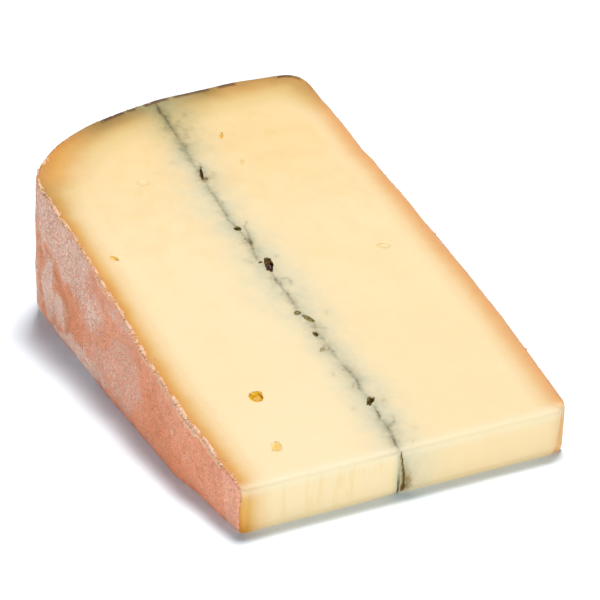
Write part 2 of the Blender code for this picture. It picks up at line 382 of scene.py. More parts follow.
def displace(points, depth, outward):
    # broad relief as in the solids, then the fine crust, the crumbling edge and the grit of the paste
    x, y, z = points.T
    radius = np.hypot(y, z)
    s, low, tuck = surface, footEdge, shoulderTuck
    skin, thin = s["skinDepth"], 0.5 * mm
    bumps = grain(points, s["rindGrain"]) + 0.6 * grain(points, s["rindGrain"] * 0.35)
    waves = grain(points, s["pasteGrain"])
    left = close(x + curveThrough(wheel["leftFlank"], radius), skin)
    right = close(x - curveThrough(wheel["rightFlank"], radius), skin)
    onLeft = x < wheel["heelX"]
    power = np.where(onLeft, wheel["leftRoundness"], wheel["rightRoundness"])
    reach = np.where(onLeft, wheel["leftReach"], wheel["rightReach"])
    share = np.minimum(np.abs(x - wheel["heelX"]) / reach, 1)
    rim = wheel["heelStart"] + (wheel["radius"] - wheel["heelStart"]) * (1 - share ** power) ** (1 / power)
    heel = close(rim - radius, skin)
    move = np.zeros((3, len(x)))
    move[0] += (right * s["rightRelief"] - left * s["rindRelief"]) * bumps
    move[1] += y / radius * heel * s["rindRelief"] * bumps - close(y - tip, skin) * s["pasteRelief"] * waves
    move[2] += z / radius * heel * s["rindRelief"] * bumps
    move[2] += (z / np.maximum(y * tangent, 1e-6)) ** 4 * s["pasteRelief"] * waves

    onRind = close(depth, thin)
    onCut = close(np.maximum((y * tangent - z) * math.cos(slope), 0), thin)
    ridges = 0.35 - np.abs(grain(points, s["crustGrain"], 3.1))
    ridges += 0.5 * grain(points, s["crustGrain"] * 2.1, 5.7)
    patches = np.clip(0.7 + 0.9 * grain(points, 55, 9.2), 0.25, 1.4)
    ragged = grain(points, s["crumbleGrain"], 1.3) + 0.8 * grain(points, s["crumbleGrain"] * 0.4, 2.9)
    rough = np.where(x < 0, 1 - 0.6 * np.clip((y / mm - 140) / 15, 0, 1), 0.35)
    move += outward * onRind * (s["crust"] * ridges * patches + onCut * s["crumble"] * ragged * rough)
    grit = grain(points, s["pasteGritGrain"], 6.1) + 0.6 * grain(points, s["pasteGritGrain"] * 3, 4.4)
    move += onCut * s["pasteGrit"] * grit * np.array(cutNormal)[:, None]
    move[1] -= close(y - tip, thin) * s["pasteGrit"] * grit
    move[2, z < 1e-6] = 0
    near = bell(y / mm, tuck["middle"], tuck["reach"]) * np.clip((-x / mm - 22) / 12, 0, 1)
    move -= outward * near * bell(z, tuck["height"], tuck["spread"]) * tuck["depth"]
    drawn = low["round"] * bell(z, 0, low["height"])
    back = soft(y / mm, *low["tuckFrom"]) * soft(-x / mm, 10, 30) * bell(z, 0, low["tuckHeight"])
    move -= outward * (drawn * close(depth, 1.2 * mm) + low["tuck"] * back * close(depth, 3 * mm))
    behindTip = y - tip - wheel["tipLean"] * (1 - z / (tip * tangent))
    move[1] += drawn * close(np.maximum(behindTip, 0), 1.2 * mm)
    for middle, out, reach, pushAcross, pushOut in swells:
        fuller = bell(np.hypot(x / mm - middle, radius / mm - out), 0, reach) * mm
        move += fuller * np.stack([np.full(len(x), pushAcross), pushOut * y / radius, pushOut * z / radius])
    return roundTipCorner(points + move.T)


def followSeam(points):
    # how far points move sideways, so that the flat inner cuts follow the line of ash
    away = np.minimum(np.abs(points[:, 0] - seam["plane"]) / seam["width"], 1)
    return (curveThrough(seam["trace"], points[:, 1] - tip) - seam["plane"]) * fade(away, 0, 1)


def ashWidth(points, depth):
    # half the thickness of the ash along its sheet: uneven, and closed under the rind
    flat = points * np.array([0, 1, 1])
    broad = grain(flat, 160, 2.2) + 0.7 * grain(flat, 520, 8.1) + 0.4 * grain(flat, 1300, 3.3)
    share = np.clip(0.45 + 0.8 * broad, 0, 1)
    width = seam["thin"] + (seam["thick"] - seam["thin"]) * share
    return width * soft(depth, 0, seam["closing"]) + 0.01 * mm


def newMesh(name, bm, place=None):
    mesh = bpy.data.meshes.new(name)
    if place is not None:
        for vert, spot in zip(bm.verts, place):
            vert.co = spot
    bmesh.ops.triangulate(bm, faces=bm.faces)
    bm.to_mesh(mesh)
    bm.free()
    return mesh


def addObject(name, data):
    item = bpy.data.objects.new(name, data)
    bpy.context.collection.objects.link(item)
    return item


def pointsOf(verts):
    return np.array([vert.co[:] for vert in verts])


# Openings in the upper cut, in millimetres: x, behind the tip, half width, half length, depth, turn, tone
# A tone of 0 is pale paste inside, 0.35 amber, 0.65 olive and 1 dark with ash
pockets = {
    "roundEye": (-21.8, 23.4, 1.6, 1.6, 0.95, -20, 0.36),
    "shallowEye": (-24.4, 9, 1.1, 1.7, 0.28, -37, 0.3),
    "leftSlit": (-31.4, 71.8, 0.7, 1.1, 0.5, 30, 0.28),
    "backSlit": (-15.5, 93.1, 1.2, 1.3, 0.15, 40, 0.12),
    "uprightSlit": (8.2, 103.6, 0.4, 1.25, 0.45, -28, 0.28),
    "rightSlit": (24.9, 58, 1.6, 0.9, 0.18, -20, 0.17),
    "faintSlit": (8.6, 93.7, 0.45, 1.5, 0.17, -30, 0.4),
    "backCrack": (-1.9, 92.2, 0.35, 2.2, 0.8, -18, 0.85),
    "backBlob": (-1.8, 90.7, 0.7, 0.7, 0.3, 0, 0.75),
    "backPocket": (-2.4, 72.9, 0.8, 0.9, 0.8, 0, 0.7),
    "largeTop": (-0.9, 61.6, 0.85, 0.75, 0.8, -20, 0.82),
    "largePocket": (-1.35, 59.8, 0.95, 2.35, 1.4, -20, 0.95),
    "largeArm": (-2.7, 61.2, 0.6, 0.35, 0.4, 12, 0.8),
    "smallPocket": (-2.6, 44, 0.75, 0.85, 0.5, -20, 0.68),
    "longPocket": (-1.2, 41.6, 0.7, 1.75, 0.6, 25, 0.66),
    "middlePocket": (-2, 36.8, 0.6, 0.85, 0.7, 0, 0.7),
    "palePocket": (-2.7, 32, 0.8, 0.5, 0.25, 25, 0.66),
    "frontPocket": (-0.7, 15, 0.75, 1.6, 1, -42, 0.74),
}
tipCrack = {
    # points of the crack in the tip cut: height and offset from the line, half width, half depth
    "points": (
        (9.3, 0.25, 0.14, 0.2), (7.8, 0.55, 0.18, 0.25), (6.2, 0.85, 0.16, 0.22), (4.6, 1.1, 0.2, 0.28),
        (3, 1.2, 0.18, 0.25), (1.6, 1.05, 0.45, 0.36),
    ),
    "halfHeight": 1.1,
    "tone": 0.72,
}


def addLump(bm, subdivisions, unevenness, place):
    # an uneven ball; each unevenness is a strength, a scale and a shift of noise
    made = bmesh.ops.create_icosphere(bm, subdivisions=subdivisions, radius=1.0)["verts"]
    for vert in made:
        vert.co *= 1.0 + sum(
            strength * noise.noise(vert.co * scale + Vector(shift)) for strength, scale, shift in unevenness
        )
    bmesh.ops.transform(bm, matrix=place, verts=made)


def addPocket(bm, seed, x, behind, halfWidth, halfLength, depth, turn):
    y = tip + behind * mm
    place = (
        Matrix.Translation((x * mm, y, y * tangent))
        @ Matrix.Rotation(slope, 4, "X")
        @ Matrix.Rotation(math.radians(turn), 4, "Z")
        @ Matrix.Diagonal((halfWidth * mm, halfLength * mm, depth * mm)).to_4x4()
    )
    addLump(bm, 4, ((0.28, 1.3, (seed * 7.1, 0, 0)), (0.2, 4.5, (0, seed * 3.7, 0))), place)


def addCrackPart(bm, z, offset, halfWidth, halfDepth):
    front = tip + wheel["tipLean"] * (1 - z * mm / (tip * tangent))
    middle = smoothThrough(seam["trace"], 0.0) + offset * mm
    size = Matrix.Diagonal((halfWidth * mm, halfDepth * mm, tipCrack["halfHeight"] * mm)).to_4x4()
    addLump(bm, 3, ((0.25, 2.0, (0, 0, z)),), Matrix.Translation((middle, front, z * mm)) @ size)


def makePocketTool(first):
    # every second pocket, so that no two shapes of one tool overlap
    bm = bmesh.new()
    for seed, values in list(enumerate(pockets.values()))[first::2]:
        addPocket(bm, seed, *values[:6])
    for part in tipCrack["points"][first::2]:
        addCrackPart(bm, *part)
    return addObject("pocketShapes", newMesh("pocketShapes", bm))


def hollowOut(mesh, tool):
    # takes the pockets out of a mesh
    item = addObject(mesh.name + "Whole", mesh)
    modifier = item.modifiers.new("pockets", "BOOLEAN")
    modifier.operation = "DIFFERENCE"
    modifier.solver = "MANIFOLD"
    modifier.object = tool
    seen = item.evaluated_get(bpy.context.evaluated_depsgraph_get())
    result = bpy.data.meshes.new_from_object(seen)
    bpy.data.objects.remove(item)
    return result


# Marks of ash on the upper cut, as runs of points: x and distance behind the tip, in tenths of a millimetre.
# After each point but the last stand the half width of the stroke from there, in hundredths of a
# millimetre, and its darkness in percent.
ashMarks = (
    (-19, 2, 35, 45, -19, 18, 28, 62, -15, 34, 42, 48, -10, 62, 35, 30, -9, 88),
    (-9, 68, 25, 35, 9, 80, 25, 30, 17, 93), (-17, 92, 25, 35, -10, 106),
    (-11, 100, 28, 62, -9, 116, 25, 45, -6, 130), (-10, 130, 30, 16, -10, 190),
    (-11, 190, 30, 52, -6, 204, 28, 48, -3, 217), (-23, 195, 25, 42, -16, 207), (-4, 217, 30, 25, -6, 240),
    (-7, 239, 50, 32, -5, 252), (-42, 241, 35, 25, -40, 246), (-7, 252, 30, 18, -10, 295),
    (-12, 295, 35, 38, -9, 310), (-10, 310, 28, 24, -11, 355, 28, 18, -11, 387),
    (-10, 387, 35, 48, -6, 399), (-2, 383, 14, 35, 9, 378), (-21, 357, 15, 35, -22, 362),
    (-19, 428, 25, 35, -22, 435), (-24, 446, 30, 22, -20, 470),
    (-21, 470, 35, 42, -19, 500, 25, 38, -15, 510), (-21, 510, 25, 34, -21, 532),
    (-19, 532, 20, 42, -13, 544), (-21, 535, 28, 34, -21, 550, 30, 55, -20, 573), (-9, 550, 25, 42, 1, 548),
    (4, 528, 30, 42, 8, 539), (-31, 623, 17, 60, -28, 633), (-28, 640, 30, 38, -24, 658),
    (-22, 658, 33, 52, -19, 675, 33, 80, -15, 686), (-16, 686, 25, 52, -10, 706),
    (-10, 710, 22, 52, -9, 728, 22, 42, 4, 743), (-23, 683, 22, 58, -23, 694, 25, 38, -23, 720),
    (-40, 681, 25, 30, -26, 682), (-56, 629, 40, 20, -49, 622), (-46, 617, 25, 42, -42, 612),
    (12, 616, 25, 30, 16, 620), (-26, 736, 28, 25, -30, 760),
    (-31, 759, 28, 48, -28, 776, 28, 38, -25, 795), (-26, 795, 30, 34, -26, 830, 28, 34, -22, 857),
    (-20, 815, 20, 38, -15, 823), (-26, 857, 30, 24, -24, 898), (-22, 902, 60, 45, -12, 909),
    (-24, 910, 25, 90, -18, 933, 20, 70, -10, 946, 17, 42, -5, 960),
    (-23, 938, 30, 28, -23, 970, 30, 28, -19, 1002), (1, 912, 60, 32, 6, 916),
    (-18, 1004, 17, 50, -17, 1013), (-20, 1018, 55, 42, -9, 1022), (-10, 1023, 20, 42, -5, 1030),
    (-14, 1032, 35, 38, -12, 1070, 35, 52, -12, 1098, 30, 55, -10, 1120), (-12, 1118, 30, 66, -8, 1138),
    (-11, 1138, 35, 50, -12, 1155), (-13, 1155, 42, 70, -11, 1170), (-10, 1170, 42, 50, -9, 1195),
    (-26, 1098, 28, 35, -15, 1113), (2, 1098, 30, 30, 13, 1113), (8, 1065, 50, 25, 13, 1080),
    (0, 1050, 40, 20, 8, 1051), (36, 1131, 35, 35, 39, 1133), (16, 139, 40, 32, 21, 144),
    (-50, 138, 35, 22, -48, 142), (32, 420, 30, 20, 34, 426), (41, 50, 40, 15, 43, 52),
    (15, 10, 30, 20, 20, 20), (-34, 316, 40, 30, -26, 322), (-24, 322, 30, 36, -17, 331),
    (-19, 315, 35, 36, -12, 319), (-70, 976, 50, 14, -62, 979),
)
# Marks on the tip cut, in millimetres: x and height at both ends, half width, darkness from 0 to 1
tipMarks = (
    (-1.7, 11.5, -1.35, 9, 0.3, 0.5), (-1.35, 9, -0.95, 6, 0.28, 0.7),
    (-0.95, 6, -0.65, 3.2, 0.3, 0.7),
    (-0.65, 3.2, -0.75, 0.6, 0.4, 0.65), (0, 3.6, 0.1, 0.4, 0.8, 0.6), (-0.9, 7.6, 0.1, 6.9, 0.14, 0.3),
    (-0.8, 6.8, 0.4, 5.8, 0.16, 0.34), (-0.7, 6, 0.9, 4.7, 0.17, 0.42), (-0.7, 5.1, 0.8, 3.9, 0.17, 0.4),
    (-0.6, 4.4, 1.2, 2.9, 0.18, 0.48), (-0.6, 3.6, 1, 2.4, 0.19, 0.5), (-0.6, 3, 1.5, 1.3, 0.2, 0.5),
    (-0.6, 2.2, 0.8, 1.1, 0.22, 0.5),
)
# How far the grey-green haze reaches from the line, in millimetres: distance behind the tip, reach
hazeLeft = (
    (0, 3.6), (15, 4.2), (27, 3.2), (40, 3.8), (50, 5.6), (60, 4.6), (72, 4.2), (82, 5), (95, 4.2),
    (106, 3.4), (119, 5),
)
hazeRight = (
    (0, 4.4), (15, 4.6), (27, 4), (40, 4.7), (50, 5.4), (60, 5.6), (72, 4.2), (82, 3.8), (92, 4.2),
    (106, 5), (119, 7),
)
# White bloom on the left flank, in millimetres: behind the tip, height, half length, half height, strength
bloomPatches = (
    (97, 8, 6.5, 12, 1.1), (91, 7.5, 6.5, 5.5, 1), (84, 26, 22, 9, 0.86), (69, 19, 9, 6.5, 0.7),
    (70.5, 17.5, 3, 3.5, 1), (54, 11, 9, 7.5, 0.6), (62, 6, 14, 6, 0.6), (84, 2.5, 24, 3.2, 0.95),
    (58, 21.5, 12, 3, 0.7),
)
# Orange-brown bare streaks there: behind the tip and height at both ends, half width, strength
rustStreaks = (
    (101, 20.5, 92, 17.5, 1.5, 0.8), (92, 17.5, 87, 12.5, 1.7, 0.9), (87, 12.5, 84.5, 6.5, 1.9, 0.9),
    (84.5, 6.5, 81, 4.5, 2, 0.6), (101.5, 2, 100, 30, 2.2, 0.75), (52, 15, 60, 12, 3, 0.35),
    (78, 14, 84, 9, 2.5, 0.4),
)
# Dark mould along the rim's upper edge, in millimetres: from x, to x, strength
duskRuns = (
    (-15, -9.5, 1), (-8.5, -6.2, 0.8), (-3.5, 2.5, 0.9), (3.8, 13, 0.8), (15.2, 19.6, 0.9), (29.5, 34, 1),
)
tipPanel = {"edge": (6.5, 7.5), "strength": 0.7}  # the paler rind beside the tip
ashSpread = {
    "widen": 1.1,  # the strokes are this much wider than listed
    "fade": 0.66,  # and this much paler
    "strongFade": 0.88,  # the same for those darker than 0.6
    "around": 0.3,  # strength of the soft surround
    "smoke": (1.7, 2.1),  # reach to the left and to the right, in millimetres
    "tipSmoke": (0.5, 2.4),
    "haze": 1.25,
    "tipHaze": (0.6, 5.4),
}


def unrolled(runs):
    # the single strokes of runs of points, in millimetres
    for run in runs:
        for i in range(0, len(run) - 2, 4):
            x0, y0, half, dark, x1, y1 = run[i:i + 6]
            yield x0 / 10, y0 / 10, x1 / 10, y1 / 10, half / 100, dark / 100


def strokes(x, y, marks, spread=0):
    # how far short strokes darken each place, with a soft surround of the given strength
    amount = np.zeros(len(x))
    for x0, y0, x1, y1, half, dark in marks:
        dx, dy = x1 - x0, y1 - y0
        share = np.clip(((x - x0) * dx + (y - y0) * dy) / (dx * dx + dy * dy), 0, 1)
        gap = np.hypot(x - x0 - share * dx, y - y0 - share * dy)
        around = 1 - spread * dark * bell(gap, 0, 3.2 * half)
        amount = 1 - (1 - amount) * (1 - dark * bell(gap, 0, half)) * around
    return amount


def inMillimetres(place):
    # each place's x, distance behind the tip cut, height, and depth below the upper cut
    x, y, z = place.T
    return x / mm, (y - tip) / mm, z / mm, (y * tangent - z) * math.cos(slope) / mm


def ashFields(place):
    # the dark marks and the haze of ash, wherever the sheet comes to the surface
    x, behind, z, below = inMillimetres(place)
    offset = x - curveThrough(seam["trace"], behind * mm) / mm
    away, left = np.abs(offset), offset < 0
    near = away < 12
    beside = place[near]
    wander = np.zeros((2, len(x)))
    wander[0, near] = 0.16 * grain(beside, 1500, 1.1) + 0.12 * grain(beside, 600, 7.7)
    wander[1, near] = 0.2 * grain(beside, 1500, 5.2)
    onTop = fade(below, 0.8, 2)
    onTip = fade(behind, 0.7, 1.6) * soft(below, 0.3, 1.2)
    marks = [
        (*ends, half * ashSpread["widen"], dark * ashSpread["fade" if dark < 0.6 else "strongFade"])
        for *ends, half, dark in unrolled(ashMarks)
    ]
    ash = onTop * strokes(x + wander[0], behind + wander[1], marks, ashSpread["around"])
    ash += onTip * strokes(x + 0.6 * wander[0], z + 0.6 * wander[1], tipMarks, 0.2)
    ash += (1 - np.maximum(onTop, onTip)) * 0.5 * bell(offset, -wander[0], 0.35)
    reach = np.where(left, curveThrough(hazeLeft, behind), curveThrough(hazeRight, behind))
    reach = np.where(onTip > 0.5, np.where(left, *ashSpread["tipHaze"]), reach) * ashSpread["haze"]
    core = [np.where(left, *ashSpread[name]) for name in ("tipSmoke", "smoke")]
    core = np.where(onTip > 0.5, *core)
    cloud = 1 + 0.5 * grain(beside, 210, 4.4) + 0.3 * grain(beside, 700, 0.4)
    shreds = 0.70 + 0.75 * grain(beside, 260, 8.8) + 0.55 * grain(beside, 800, 2.4)
    haze, smoke = np.zeros(len(x)), np.zeros(len(x))
    haze[near] = np.exp(-(away / reach)[near] ** 1.7) * np.clip(cloud, 0, 1.5)
    smoke[near] = np.exp(-(away / core)[near] ** 1.6) * np.clip(shreds, 0.12, 1.3)
    faint = 0.3 * band(behind, 18, 32, 58, 70) * left * bell(offset, 0, 9)
    return {"ash": ash, "haze": np.maximum(haze, faint), "smoke": smoke}


def rindFields(place):
    # bloom, bare rust and dark mould on the rind
    x, behind, z, below = inMillimetres(place)
    onLeft = fade(x, -36.5, -33) * fade(behind, 101, 104)
    broad = grain(place, 60, 2.5) + 0.5 * grain(place, 190, 6.6)
    fine = grain(place, 420, 1.9)
    bloom = np.zeros(len(x))
    for middle, height, halfLength, halfHeight, strength in bloomPatches:
        gap = np.hypot((behind - middle) / halfLength, (z - height) / halfHeight)
        bloom = np.maximum(bloom, strength * fade(gap + 0.6 * broad + 0.3 * fine, 0.6, 1.3))
    bloom = onLeft * bloom + (1 - onLeft) * 0.9 * soft(broad, -0.15, 0.5)
    rust = onLeft * strokes(behind + 1.2 * broad, z + 1.2 * fine, rustStreaks)
    rust += (1 - onLeft) * 0.7 * soft(grain(place, 75, 12.5) + 0.3 * fine, 0.05, 0.4)
    reach = 1 + 0.7 * grain(place, 170, 3.9) + 0.5 * grain(place, 520, 1.2)
    crumbly = 0.85 * fade(below, 0.3 * reach, 1.9 * reach) * soft(behind, 5, 9)
    onRim = soft(behind, 104, 110) * fade(x, 34.8, 36)
    dusk = np.zeros(len(x))
    ragged = 0.8 * grain(place, 480, 2.1) + 0.5 * grain(place, 1200, 7.9)
    drift = x + ragged + 3.2 * grain(place, 150, 8.3) * soft(below, 0.5, 3)
    for start, stop, strength in duskRuns:
        inside = band(drift, start - 0.5, start + 0.5, stop - 0.5, stop + 0.5)
        dusk = np.maximum(dusk, strength * inside)
    dusk *= fade(below + 2 * ragged + 4 * grain(place, 130, 5.1), 1.5, 6)
    spots = soft(grain(place, 95, 3.7) + 0.4 * ragged, 0.3, 0.6)
    dusk = onRim * np.maximum(dusk, 0.6 * soft(below, 1, 3) * spots)
    panel = tipPanel["strength"] * onLeft * fade(behind, *tipPanel["edge"])
    fields = {"bloom": bloom, "rust": rust, "dusk": dusk, "crumbly": crumbly, "panel": panel}
    return {name: np.clip(values, 0, 1) for name, values in fields.items()}


def oliveField(place, depth):
    # how far the paste goes olive brown under the mouldy rim and behind on the left
    x, behind, _, _ = inMillimetres(place)
    uneven = 1 + 0.6 * grain(place, 95, 6.1)
    rim = soft(behind, 96, 104)
    under = band(x, -23, -14, 11, 17) + 0.2 * band(x, 26, 29, 32, 34)
    amount = rim * 0.55 * under * uneven * np.exp(-(depth / 4.2) ** 2.2)
    amount += rim * 0.28 * bell(x, -0.8, 2.6) * bell(depth, 0, 5.5)
    left = band(behind, 70, 84, 95, 101) * fade(x, -30, -26)
    amount += 0.10 * left * uneven * bell(depth, 0, 5)
    return np.clip(amount, 0, 0.75)


def fringeField(place):
    # where torn crumbs of rind whiten the edge of the upper cut
    x, behind, _, below = inMillimetres(place)
    left = fade(x, -33, -28) * soft(behind, 5, 9)
    right = 0.45 * soft(x, 31, 34) * soft(behind, 40, 60)
    torn = np.clip(0.7 + 1.5 * grain(place, 260, 3.3) + 1.3 * grain(place, 700, 1.4), 0, 1)
    return (left + right) * torn * fade(below, 0.2, 0.9)


def pocketTone(place):
    # the tone of the nearest pocket, or of the crack near the tip
    x, behind, _, _ = inMillimetres(place)
    gaps = []
    for px, py, halfWidth, halfLength, _, turn, _ in pockets.values():
        c, s = math.cos(math.radians(turn)), math.sin(math.radians(turn))
        u = ((x - px) * c + (behind - py) * s) / halfWidth
        v = (-(x - px) * s + (behind - py) * c) / halfLength
        gaps.append(np.hypot(u, v))
    tones = np.array([values[-1] for values in pockets.values()])
    return np.where(behind < 2.5, tipCrack["tone"], tones[np.argmin(gaps, 0)])


def paint(mesh, moved, depth, ripe):
    # everything that the materials read about a place, kept on the points of the mesh
    place = pointsOf(mesh.vertices)
    x, behind, z, below = inMillimetres(place)
    tree = KDTree(len(moved))
    for i, spot in enumerate(moved):
        tree.insert(spot, i)
    tree.balance()
    index, gap = map(np.array, zip(*[tree.find(spot)[1:] for spot in place]))
    depth, ripe = depth[index] / mm, ripe[index] / mm
    radius = np.hypot(place[:, 1], place[:, 2]) / mm
    atRight = soft(x, -10, 30)
    rimSide = soft(radius, 130 + 20 * atRight, 152 + 11 * atRight)
    shoulder = bell(x, -30, 7) * soft(radius, 142, 150)
    s = ripening
    rim = s["rimWidth"] + (s["cornerWidth"] - s["rimWidth"]) * soft(x, 15, 36)
    width = s["sideWidth"] + (rim - s["sideWidth"]) * rimSide
    width += (s["shoulderWidth"] - width) * shoulder
    tipFace = fade(behind, 0.6, 1.3) * soft(below, 0.4, 1)
    inside = np.minimum(np.minimum(below, behind), np.minimum(depth, z))
    corner = soft(x, 30, 33) * fade(behind, 1.2, 3.6)  # paste smeared round the tip's right end
    depth += 1.8 * corner
    fields = {
        "depth": depth,
        "ripe": np.maximum(ripe / width, tipFace * (0.2 + 0.2 * atRight)) + 0.3 * corner,
        "rimSide": rimSide * (1 - shoulder), "olive": oliveField(place, depth),
        "fringe": fringeField(place), "tipFace": tipFace, "hidden": soft(inside, 0.3, 0.9),
        "sunk": np.where(gap > 1e-6, np.maximum(np.minimum(below, behind + 0.3), 0), 0),
        # a painted highlight along the upper edge of the tip cut, where the upper cut turns down into it
        "paintedHighlight": bell(np.maximum(below - 0.6, behind - 0.4), 0, 1.3), "tone": pocketTone(place),
        **ashFields(place), **rindFields(place),
    }
    for name, values in fields.items():
        layer = mesh.attributes.new(name, "FLOAT", "POINT")
        layer.data.foreach_set("value", values.astype(np.float32))


def finishPiece(name, mesh, material, slotName, replaced=None, sharp=True):
    # puts a mesh in the frame, in the place of a solid if one is named
    print(f"{name}: {len(mesh.polygons)} triangles")
    mesh.transform(Matrix.Translation(origin))
    mesh.materials.clear()
    mesh.materials.append(material)
    mesh.shade_smooth()
    if sharp:
        mesh.set_sharp_from_angle(angle=surface["smoothAngle"])
    piece = addObject(name, mesh)
    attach(piece, "root")
    if replaced:
        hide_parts(replaced)


def shaped(bm):
    # the points of a body, their distances from the rind, and where the relief moves them
    base = pointsOf(bm.verts)
    depth, ripe, outward = rindAround(base)
    return base, depth, ripe, displace(base, depth, outward)


def finishFood(name, bm, moved, depth, ripe, *last):
    # a body with its openings and all that its material reads
    mesh = newMesh(name, bm, moved)
    for tool in pocketTools:
        mesh = hollowOut(mesh, tool)
    paint(mesh, moved, depth, ripe)
    finishPiece(name, mesh, *last)


def makeHalf(name, side, replaced):
    bm = whole.copy()
    cutFlat(bm, toRight * seam["plane"], toRight * side)
    refineHalf(bm, side)
    base, depth, ripe, moved = shaped(bm)
    moved[:, 0] += followSeam(base)
    beside = np.clip(1 - np.abs(base[:, 0] - seam["plane"]) / seam["beside"], 0, 1)
    moved[:, 0] += side * beside ** 2 * ashWidth(base, depth)
    finishFood(name, bm, moved, depth, ripe, cheese, "paste", replaced)


def makeAsh():
    bm = whole.copy()
    sides = (seam["plane"] - seam["sheet"], seam["plane"] + seam["sheet"])
    cutFlat(bm, toRight * sides[0], toRight)
    cutFlat(bm, toRight * sides[1], -toRight)
    cut = partial(cutRows, bm, sides, 1)
    stop, cell = wheel["radius"], surface["cell"]
    cut("upright upper", toRight, evenly(*sides, surface["seamCell"]))
    cut("upright upper", toRim, evenly(tip, stop, cell / 2))
    cut("upright", upwards, evenly(0, stop * math.sin(slope), cell))
    cut("inner foot", toRim, evenly(tip, stop, surface["hiddenCell"]))
    base, depth, ripe, moved = shaped(bm)
    share = (base[:, 0] - seam["plane"]) / seam["sheet"]
    moved[:, 0] = curveThrough(seam["trace"], base[:, 1] - tip) + share * ashWidth(base, depth)
    finishFood("ashSheet", bm, moved, depth, ripe, makeAshMaterial(), "ash", "ash_layer")


class Recipe:
    # one material, put together from small steps; each gives a socket for the next ones
    # A value is a socket, a number, or the name of a field of the mesh; a colour is a socket or a name
    # of the palette.
    def __init__(self, name, palette):
        self.palette = palette
        self.material = bpy.data.materials.new(name)
        self.material.use_nodes = True
        self.tree = self.material.node_tree
        self.shader = self.tree.nodes["Principled BSDF"]
        self.place = self.node("TexCoord").outputs["Object"]

    def node(self, kind):
        return self.tree.nodes.new("ShaderNode" + kind)

    def put(self, socket, value):
        if isinstance(value, str):
            field = self.node("Attribute")
            field.attribute_name = value
            value = field.outputs["Fac"]
        if isinstance(value, bpy.types.NodeSocket):
            self.tree.links.new(value, socket)
        else:
            socket.default_value = value

    def axis(self, name):
        node = self.node("SeparateXYZ")
        self.put(node.inputs[0], self.place)
        return node.outputs[name]

    def speckle(self, scale, detail=2.0, roughness=0.5, shift=(0, 0, 0), stretch=(1, 1, 1), distortion=0.0):
        mapping, node = self.node("Mapping"), self.node("TexNoise")
        self.put(mapping.inputs["Vector"], self.place)
        mapping.inputs["Location"].default_value = shift
        mapping.inputs["Scale"].default_value = stretch
        self.put(node.inputs["Vector"], mapping.outputs["Vector"])
        values = {"Scale": scale, "Detail": detail, "Roughness": roughness, "Distortion": distortion}
        for name, value in values.items():
            node.inputs[name].default_value = value
        return node.outputs["Fac"]

    def calc(self, operation, *values, clamp=False):
        node = self.node("Math")
        node.operation = operation
        node.use_clamp = clamp
        for socket, value in zip(node.inputs, values):
            self.put(socket, value)
        return node.outputs[0]

    def times(self, a, b, clamp=False):
        return self.calc("MULTIPLY", a, b, clamp=clamp)

    def add(self, value, strength, base, clamp=False):
        return self.calc("MULTIPLY_ADD", value, strength, base, clamp=clamp)

    def sway(self, speckle, strength, base):
        # the base moved up and down by a speckle
        return self.add(self.calc("SUBTRACT", speckle, 0.5), strength, base)

    def step(self, value, low, high, lowOut=0.0, highOut=1.0):
        # a smooth step of the value between two thresholds
        node = self.node("MapRange")
        node.interpolation_type = "SMOOTHSTEP"
        for socket, number in zip(node.inputs, (value, low, high, lowOut, highOut)):
            self.put(socket, number)
        return node.outputs[0]

    def tint(self, color):
        # a screen colour, 0 to 255, as the linear colour that a shader takes
        parts = [part / 255 for part in color]
        linear = [p / 12.92 if p <= 0.04045 else ((p + 0.055) / 1.055) ** 2.4 for p in parts]
        gain, glare = self.palette["gain"], self.palette["glare"]
        return (*[min(max(part - glare, 0.003) * gain, 0.98) for part in linear], 1.0)

    def ramp(self, value, name):
        node = self.node("ValToRGB")
        self.put(node.inputs[0], value)
        stops, colors = self.palette[name], node.color_ramp.elements
        while len(colors) < len(stops):
            colors.new(0.5)
        for element, (position, color) in zip(colors, stops):
            element.position = position
            element.color = self.tint(color)
        return node.outputs["Color"]

    def blend(self, amount, *colors):
        node = self.node("Mix")
        node.data_type = "RGBA"
        self.put(node.inputs["Factor"], amount)
        for i, color in zip((6, 7), colors):  # the two colour sockets of the node
            self.put(node.inputs[i], self.tint(self.palette[color]) if isinstance(color, str) else color)
        return node.outputs[2]

    def cover(self, color, amount, strength=None):
        # lays a colour over what there is so far
        amount = amount if strength is None else self.times(amount, strength)
        self.color = self.blend(amount, self.color, color)

    def finish(self, roughness, height, **fixed):
        # height is in millimetres
        bump = self.node("Bump")
        bump.inputs["Distance"].default_value = mm
        self.put(bump.inputs["Height"], height)
        fixed |= {"Normal": bump.outputs["Normal"], "Base Color": self.color, "Roughness": roughness}
        for name, value in fixed.items():
            self.put(self.shader.inputs[name.replace("_", " ")], value)
        return self.material


